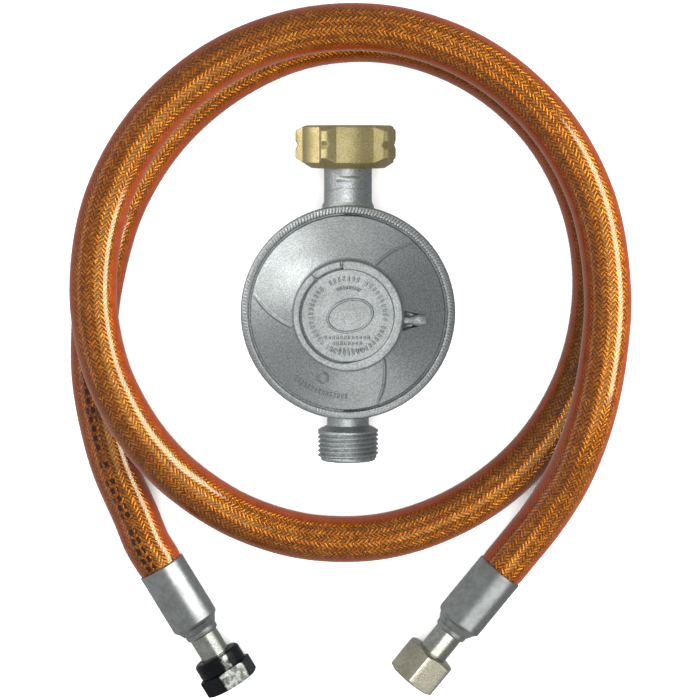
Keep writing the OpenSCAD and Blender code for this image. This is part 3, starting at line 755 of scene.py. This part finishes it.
def rim():
    """Crimped rim, knurled along the lip where it is rolled over the cover."""
    teeth, samples = 200, 8
    depth, slant, lip_r = 0.36, 2.2, 33.2
    ring = rounded([
        (33.2, 25.6, 0), (34.6, 25.3, 0.5), (RIM_R, 26, 0.5), (RIM_R, RIM_TOP - 1.5, 0.6),
        (34.6, RIM_TOP - 0.8, 0.4), (34.1, RIM_TOP - 0.46, 0), (33.8, RIM_TOP - 0.32, 0),
        (33.5, RIM_TOP - 0.2, 0), (33.2, RIM_TOP - 0.1, 0), (32.9, RIM_TOP - 0.03, 0),
        (32.6, RIM_TOP - 0.08, 0), (LIP_R, RIM_TOP - 0.4, 0), (LIP_R + 0.1, RIM_TOP - 0.95, 0),
        (33.2, RIM_TOP - 0.95, 0),
    ])
    r, z = ring[:, 0], ring[:, 1]
    knurled = smoothstep(34.4, 33.9, r) * (z > RIM_TOP - 0.9)

    def section(angle):
        wave = np.sin(teeth * angle + slant * (r - lip_r))
        fade = 0.25 + 0.75 * float(smoothstep(-0.3, 0.6, math.sin(angle)))
        groove = depth * fade * (0.5 - 0.5 * wave) ** 1.5 * knurled
        return np.stack((r + 0.5 * groove, z - groove), 1)

    angles = np.linspace(0, 2 * math.pi, teeth * samples, endpoint=False)
    return Shape().polar(section, angles).build("crimped_rim", ZINC, 60)


RIBS = ((62, 47), (194, 168), (310, 287))


def rib_height(x, y):
    """Height of the three curved ribs above the cover's cone."""
    end_r, bend_r, half_width, height = 31.4, 24, 0.65, 0.55
    r = np.hypot(x, y)
    total = np.zeros_like(r)
    for start, end in RIBS:
        a, b = math.radians(start), math.radians(end)
        p0 = BOSS_R * np.array((math.cos(a), math.sin(a)))
        p1 = end_r * np.array((math.cos(b), math.sin(b)))
        chord = p1 - p0
        length = np.linalg.norm(chord)
        side = np.array((-chord[1], chord[0])) / length
        centre = (p0 + p1) / 2 - side * math.sqrt(bend_r**2 - length**2 / 4)
        off = np.abs(np.hypot(x - centre[0], y - centre[1]) - bend_r)
        middle = math.radians((start + end) / 2)
        near = np.cos(np.arctan2(y, x) - middle) > math.cos(math.radians(30))
        fade = smoothstep(end_r + 0.4, end_r - 3, r)
        total += height * smoothstep(half_width, 0.1, off) * near * fade
    return total


def cover():
    """Conical cover with its swirl ribs, and the round boss that holds the cap."""
    foot = [(18.3, dome_z(18.3) + 0.05), (18.0, dome_z(18) + 0.18), (17.75, dome_z(17.75) + 0.45)]
    inner = [
        (CAP_R + 0.04, CAP_FLOOR), (12, CAP_FLOOR), (12, 38.7), (15.4, 38.7), (15.4, 33.2),
        (27.5, dome_z(27.5) - 2.2), (30, 27.4), (33.4, 27.4), (33.4, 28.6), (32.0, 28.6),
    ]
    notches, notch_depth, hollow_depth = (97, 130), 2, 3.2

    def section(angle):
        # The seam inside the rim is wider on the right, and the gap round the cap on the left
        seam = 0.3 * float(smoothstep(-0.4, 0.5, math.cos(angle)))
        cone_r = np.linspace(31.75 - seam, 18.6, 48)
        x, y = cone_r * math.cos(angle), cone_r * math.sin(angle)
        # The vent's hollow gets narrower and shallower outwards
        hollow_half = 3.3 - 0.28 * (cone_r - BOSS_R)
        beside = smoothstep(hollow_half + 0.3, hollow_half - 0.3, np.abs(y - VENT_Y)) * (x > 0)
        hollow = hollow_depth * smoothstep(25.5, 19, cone_r) * beside
        cone_z = dome_z(cone_r) + rib_height(x, y) - hollow
        degrees = math.degrees(angle)
        notch = max(float(smoothstep(1.6, 0.9, abs(degrees - at))) for at in notches)
        on_left = float(smoothstep(95, 99, degrees) * smoothstep(285, 255, degrees))
        top = BOSS_TOP - notch_depth * notch
        gap = CAP_R + 0.04 + 0.65 * on_left
        boss = [
            (17.62, dome_z(17.6) + 0.9), (BOSS_R, top - 0.4), (17.55, top - 0.15),
            (17.42, top - 0.04), (17.2, top), (gap + 0.3, top), (gap + 0.1, top - 0.06),
            (gap, top - 0.25), (gap, CAP_TOP - 0.9),
        ]
        edge = [(31.98 - seam, 28.75), (31.95 - seam, 29.2), (31.86 - seam, 29.45)]
        return np.concatenate((edge, np.stack((cone_r, cone_z), 1), foot, boss, inner))

    angles = np.linspace(0, 2 * math.pi, 900, endpoint=False)
    return Shape().polar(section, angles).build("cover", ZINC, 50)


def vent_spout():
    """Tongue along the vent's hollow, with a fine raised line in front of it."""
    along_x = (
        Matrix.Translation((0, VENT_Y, 34.6)) @ Matrix.Rotation(math.radians(90), 4, "Y")
    )
    shape = Shape().turned(
        [(0.5, 14.6, 0), (1.2, 14.6, 0), (1.3, 19.5, 0.8), (2.0, 23.2, 1.0), (1.5, 25.6, 0.8),
         (0.5, 26.0, 0.2)],
        along_x, steps=64,
    )
    line_x = 26.6
    line = [(line_x, y) for y in np.linspace(-7.2, 3, 24)]
    shape.ridge(line, 0.3, 0.16, on_cone)
    return shape.build("vent_spout", ZINC)


def cover_marks():
    """Row of plain raised dashes and a small ring low on the cover."""
    ring_x, ring_y, ring_r = -8.2, -20.6, 1.7
    shape = Shape()
    for a in np.radians(np.arange(231, 269, 2.7)):
        outwards = np.array((math.cos(a), math.sin(a)))
        shape.ridge([r * outwards for r in (26.3, 27.1, 27.9)], 0.7, 0.4, on_cone)
    ring = []
    for a in np.radians(np.arange(0, 360, 15)):
        ring.append((ring_x + ring_r * math.cos(a), ring_y + ring_r * math.sin(a)))
    shape.ridge(ring, 0.8, 0.45, on_cone, closed=True)
    return shape.build("cover_marks", ZINC)


def cap():
    """Cap let into the boss, with a plain raised oval and rows of plain dashes."""
    shape = Shape().turned(
        [(0, CAP_FLOOR, 0), (CAP_R, CAP_FLOOR, 0), (CAP_R, CAP_TOP, 0.2),
         (13.6, CAP_TOP, 0), (0, CAP_TOP, 0)],
        steps=160, closed=False,
    )

    def top(x, y):
        return CAP_TOP

    tilt = math.radians(15)
    cosine, sine = math.cos(tilt), math.sin(tilt)
    oval_x, half_long, half_short = 0.7, 7.3, 5.1
    oval = []
    for a in np.linspace(0, 2 * math.pi, 96, endpoint=False):
        x, y = half_long * math.cos(a), half_short * math.sin(a)
        oval.append((oval_x + x * cosine - y * sine, x * sine + y * cosine))
    shape.ridge(oval, 0.9, 0.6, top, closed=True)

    def dash(centre, direction, length):
        step = np.array((math.cos(direction), math.sin(direction))) * length / 2
        shape.ridge([centre - step, centre, centre + step], 0.72, 0.65, top)

    def fan(radius, start, end, count, length):
        for a in np.radians(np.linspace(start, end, count)):
            dash(radius * np.array((math.cos(a), math.sin(a))), a, length)

    for start, end in ((74, 118), (-6, 60), (135, 226), (236, 342)):
        fan(12, start, end, round((end - start) / 6.5), 1.6)
    fan(9.1, 66, 112, 9, 1.1)
    for y, half_length in ((-7.0, 7.3), (-8.9, 4.8), (-11.0, 5.2)):
        for x in np.arange(-half_length, half_length + 0.1, 1.25):
            dash(np.array((x + 0.2, y)), math.pi / 2, 1.0)
    return shape.build("boss_cap_face", ZINC)


def neck_marks():
    """Low bar and casting lines on top of the inlet neck."""

    def top(x, y):
        return PORT_Z + math.sqrt(max(NECK_R**2 - x * x, 1.0))

    shape = Shape()
    shape.ridge([(x, 43.45) for x in np.linspace(-3.8, 3.8, 17)], 1.9, 0.4, top)
    shape.ridge([(x, 40.4) for x in np.linspace(-1.0, 5.0, 13)], 0.25, 0.12, top)
    shape.ridge([(x, 40.9 + 0.28 * (x + 1)) for x in np.linspace(-6.0, -1.4, 11)], 0.25, 0.14, top)
    return shape.build("neck_marks", ZINC)


def lugged_nut():
    """Brass inlet nut with five lugs, notched as a left-hand thread's nut is."""
    body_r, lug_r, length, minor = 15, 17.4, 14, 9.74
    pitch, depth = 25.4 / 14, 1.0
    first_lug = FIRST_LUG - 90
    base_half, top_half = 12, 3
    notch_z, notch = 7.6, 0.8
    shoulder_r, rear_cut, front_cut = 14, 2.1, 1.7

    def outline_r(angle):
        """Radius of the lugged outline, before its ends are chamfered."""
        off = (math.degrees(angle) - first_lug + 36) % 72 - 36
        blend = smoothstep(base_half + 0.4, top_half - 0.2, np.array(abs(off)))
        slope = np.clip((base_half - abs(off)) / (base_half - top_half), 0, 1)
        return body_r + (lug_r - body_r) * float(0.75 * slope + 0.25 * blend)

    def section(angle):
        r = outline_r(angle)
        over = max(0.0, r - shoulder_r) / (lug_r - shoulder_r)
        rear_z = 1.2 + over * rear_cut
        front_z = length - over * front_cut
        notched = min(r, lug_r - notch)
        outside = [
            (8.25, 0.25), (8.45, 0), (11.9, 0), (12.15, 0.06), (13.9, 1.1), (14.1, 1.3),
            (r - 0.15, rear_z - 0.08), (r, rear_z + 0.15), (r, notch_z - 1.3), (notched, notch_z),
            (r, notch_z + 1.3), (r, front_z - 0.15), (r - 0.15, front_z + 0.08),
            (14.1, length - 0.08), (13.85, length), (12.1, length), (11.75, length - 0.08),
            (minor + 0.1, 12.95),
        ]
        inside = inner_thread(angle, 7.3, 12.8, minor, pitch, depth)
        rear = [(11, 7.1), (11, 3), (8.15, 3), (8.15, 0.35)]
        return np.concatenate((outside, inside, rear))

    lug_steps = np.array([-13, -12, -11, -8, -5, -4, -3.2, -2.6, 0, 2.6, 3.2, 4, 5, 8, 11, 12, 13])
    gap_steps = np.arange(16, 58, 3)
    steps = np.concatenate((lug_steps, gap_steps))
    degrees = first_lug + 72 * np.arange(5)[:, None] + steps[None, :]
    place = INLET @ Matrix.Translation((0, 0, NUT_REAR))
    return Shape().polar(section, np.radians(degrees.ravel()), place).build("lugged_nut", BRASS, 30)


# ---------------------------------------------------------------- hose ends


def ferrule(name, place):
    """Crimped ferrule: flared mouth, faint crimp flats, stepped taper onto the stem."""
    flats, dent = 12, 0.06
    ring = rounded([
        (7.05, 3.2, 0), (7.7, 0.1, 0.1), (8.0, 0, 0.1), (8.1, 0.3, 0.1), (8.06, 3, 0.5),
        (8.1, 21.8, 0.5), (7.7, 22.4, 0.3), (7.0, 23.1, 0.3), (5.9, 25.0, 0.3),
        (5.5, 25.2, 0.1), (5.75, 25.55, 0.15), (5.6, 26.7, 0.2), (5.2, 27.1, 0.15),
        (4.95, 27.1, 0), (4.95, 22.0, 0), (7.05, 22.0, 0),
    ])
    r, z = ring[:, 0], ring[:, 1]
    crimped = smoothstep(2.5, 4.5, z) * smoothstep(21.4, 19.4, z) * (r > 7.5)

    def section(angle):
        wave = 0.5 - 0.5 * math.cos(flats * angle)
        return np.stack((r - dent * wave**3 * crimped, z), 1)

    angles = np.linspace(0, 2 * math.pi, 192, endpoint=False)
    return Shape().polar(section, angles, place).build(name, FERRULE_STEEL)


def nut_inside(angle, rear, front):
    """(r, z) points of a hose nut's bores, from its mouth to its rear hole."""
    minor, pitch, depth = 5.72, 25.4 / 19, 0.75
    mouth = [(7.2, front), (6.95, front - 0.06), (minor + 0.1, front - 0.85)]
    thread = inner_thread(angle, rear + 6.2, front - 0.95, minor, pitch, depth)
    back = [(6.6, rear + 6.0), (6.6, rear + 3.4), (5.2, rear + 3.4), (5.2, rear + 0.3), (5.4, rear)]
    return np.concatenate((mouth, thread, back))


def nickel_nut():
    def section(angle):
        side = hex_side(angle, RIGHT_TURN, RIGHT_NUT_REAR, RIGHT_NUT_FRONT, 1.0, 1.1)
        return np.concatenate((side, nut_inside(angle, RIGHT_NUT_REAR, RIGHT_NUT_FRONT)))

    angles = hex_angles(RIGHT_TURN)
    return Shape().polar(section, angles, RIGHT_END).build("nickel_nut", NICKEL, 25)


def black_nut():
    """Round collar behind a hexagon, with the finish worn off one flat."""
    step = LEFT_NUT_REAR + LEFT_COLLAR

    def section(angle):
        collar = [
            (7.3, LEFT_NUT_REAR), (7.55, LEFT_NUT_REAR + 0.08), (8.15, LEFT_NUT_REAR + 0.65),
            (8.25, LEFT_NUT_REAR + 0.9), (8.25, step - 0.5), (8.1, step - 0.15), (7.9, step - 0.05),
        ]
        side = hex_side(angle, LEFT_TURN, step, LEFT_NUT_FRONT, 0.4, 0.55)
        return np.concatenate((collar, side, nut_inside(angle, LEFT_NUT_REAR, LEFT_NUT_FRONT)))

    angles = hex_angles(LEFT_TURN)
    piece = Shape().polar(section, angles, LEFT_END).build("black_nut", BLACK_NUT, 25)
    layer = piece.data.uv_layers.new(name="nut_polar")
    to_nut = LEFT_END.inverted()
    for loop in piece.data.loops:
        point = to_nut @ (piece.data.vertices[loop.vertex_index].co / MM)
        layer.data[loop.index].uv = (math.degrees(math.atan2(point.y, point.x)) % 360, point.z)
    return piece


# ---------------------------------------------------------------- build the regulator

REGULATOR_PIECES = [
    belongs(bowl(), "regulator", "zinc_casting", "regulator_body"),
    belongs(rim(), "regulator", "zinc_casting"),
    belongs(neck_marks(), "regulator", "zinc_casting"),
    belongs(cover(), "regulator", "zinc_casting", "regulator_cover"),
    belongs(vent_spout(), "regulator", "zinc_casting"),
    belongs(cover_marks(), "regulator", "zinc_casting"),
    belongs(cap(), "regulator", "zinc_casting", "boss_cap"),
    belongs(lugged_nut(), "inlet_nut", "brass", "inlet_nut"),
]

# ---------------------------------------------------------------- build the hose ends

LEFT_PIECES = [
    belongs(ferrule("ferrule_left", LEFT_END), "hose_assembly", "ferrule_steel", "left_ferrule"),
    belongs(black_nut(), "left_nut", "black_nut", "left_nut"),
]
RIGHT_PIECES = [
    belongs(ferrule("ferrule_right", RIGHT_END), "hose_assembly", "ferrule_steel", "right_ferrule"),
    belongs(nickel_nut(), "right_nut", "nickel_nut", "right_nut"),
]
STEM_NODES = ["left_stem", "left_washer", "right_stem", "right_washer"]

# ---------------------------------------------------------------- carried-over CAD nodes

SLOT_MATERIALS = {
    "brass": BRASS,
    "spring_steel": SPRING_STEEL,
    "plain_steel": PLAIN_STEEL,
    "seal_rubber": RUBBER,
    "stem_steel": STEM_STEEL,
}
for subpart in frame["record"]["subparts"]:
    if subpart["material_slot"] in SLOT_MATERIALS:
        mesh = NODES[subpart["node"]].data
        mesh.materials.clear()
        mesh.materials.append(SLOT_MATERIALS[subpart["material_slot"]])

# ---------------------------------------------------------------- floor and light


def floor():
    """Plain pale floor, well beyond the camera's view."""
    half, gap = 2.5, 0.0001
    mesh = bpy.data.meshes.new("floor")
    corners = [(-half, -half, 0), (half, -half, 0), (half, half, 0), (-half, half, 0)]
    mesh.from_pydata(corners, [], [(0, 1, 2, 3)])
    shader = Shader("pale_floor", {"Roughness": 0.6, "Specular IOR Level": 0.2})
    tone = shader.noise(0.01, detail=2.0)
    shader.drive("Base Color", shader.mix(tone, colour("F4F4F3"), colour("FAFAFA")))
    mesh.materials.append(shader.material)
    piece = bpy.data.objects.new("floor", mesh)
    bpy.context.scene.collection.objects.link(piece)
    piece.location.z = CAD_BOX[0].z - gap
    return piece


KIT_MIDDLE = (0, -10, 20)


def softbox(name, place, size, watts, only, tint="FFFFFF", up=(0, 1, 0)):
    data = bpy.data.lights.new(name, "AREA")
    data.shape = "RECTANGLE"
    data.size, data.size_y = (s * MM for s in size)
    data.energy = watts
    data.color = colour(tint)[:3]
    thing = bpy.data.objects.new(name, data)
    bpy.context.scene.collection.objects.link(thing)
    aim(thing, place, KIT_MIDDLE, up)
    lit = bpy.data.collections.new(name)
    for piece in only:
        lit.objects.link(piece)
    thing.light_linking.receiver_collection = lit


def lamps():
    """The regulator and the hose are lit apart, as in two studio shots of one kit."""
    bowl_piece, neck_bar, nut_piece = REGULATOR_PIECES[0], REGULATOR_PIECES[2], REGULATOR_PIECES[-1]
    stems = [NODES[name] for name in STEM_NODES]
    left_end = [*LEFT_PIECES, *stems[:2]]
    right_end = [*RIGHT_PIECES, *stems[2:]]
    softbox("regulator_key", (-560, 560, 760), (220, 220), 1.95, REGULATOR_PIECES)
    softbox("regulator_left", (-900, 350, 420), (700, 500), 2.2, REGULATOR_PIECES)
    softbox("regulator_top", (-60, -60, 1100), (600, 600), 1.7, REGULATOR_PIECES)
    softbox("regulator_low", (160, -700, 700), (500, 500), 1.45, REGULATOR_PIECES)
    softbox("regulator_high", (150, 800, 700), (500, 500), 0.7, REGULATOR_PIECES)
    softbox("ports", (-120, -100, 1000), (1000, 700), 2.2, [bowl_piece, neck_bar])
    softbox("nut_left", (-800, 60, 150), (500, 300), 1.6, [nut_piece])
    softbox("nut_right", (800, 60, 150), (500, 300), 0.5, [nut_piece])
    softbox("hose_strip", (760, 60, 420), (340, 800), 14, [hose_tube], "FFEFD0")
    softbox("hose_left", (-800, 100, 260), (260, 1200), 2.3, [hose_tube], "FFB090")
    softbox("hose_above", (400, -260, 1050), (700, 700), 4.9, [hose_tube], "FFD080")
    softbox("left_end_key", (430, 260, 520), (300, 900), 4.5, left_end, up=(0, 0, 1))
    softbox("right_ferrule_key", (420, -330, 640), (900, 900), 2.2, right_end[:1])
    softbox("right_nut_key", (150, -250, 900), (900, 900), 5.8, right_end[1:])
    ground = floor()
    softbox("floor_wash", (0, 0, 1500), (1800, 1800), 70, [ground])
    hose_tube.visible_glossy = False
    ground.visible_diffuse = False
    ground.visible_glossy = False


lamps()


def studio():
    """Dim surroundings, paler on the left than on the right."""
    dim, pale = 0.26, 0.42
    world = bpy.data.worlds.new("studio")
    world.use_nodes = True
    tree = world.node_tree
    background = tree.nodes["Background"]
    direction = tree.nodes.new("ShaderNodeTexCoord").outputs["Generated"]
    lean = tree.nodes.new("ShaderNodeVectorMath")
    lean.operation = "DOT_PRODUCT"
    lean.inputs[1].default_value = (-1.0, 0.15, 0.0)
    tree.links.new(direction, lean.inputs[0])
    tone = tree.nodes.new("ShaderNodeMapRange")
    tone.inputs["From Min"].default_value = -0.9
    tone.inputs["From Max"].default_value = 0.9
    tone.inputs["To Min"].default_value = dim
    tone.inputs["To Max"].default_value = pale
    tree.links.new(lean.outputs["Value"], tone.inputs["Value"])
    tree.links.new(tone.outputs[0], background.inputs["Strength"])
    background.inputs["Color"].default_value = (0.97, 0.98, 1.0, 1.0)
    bpy.context.scene.world = world


studio()
bpy.context.scene.view_settings.view_transform = "Standard"
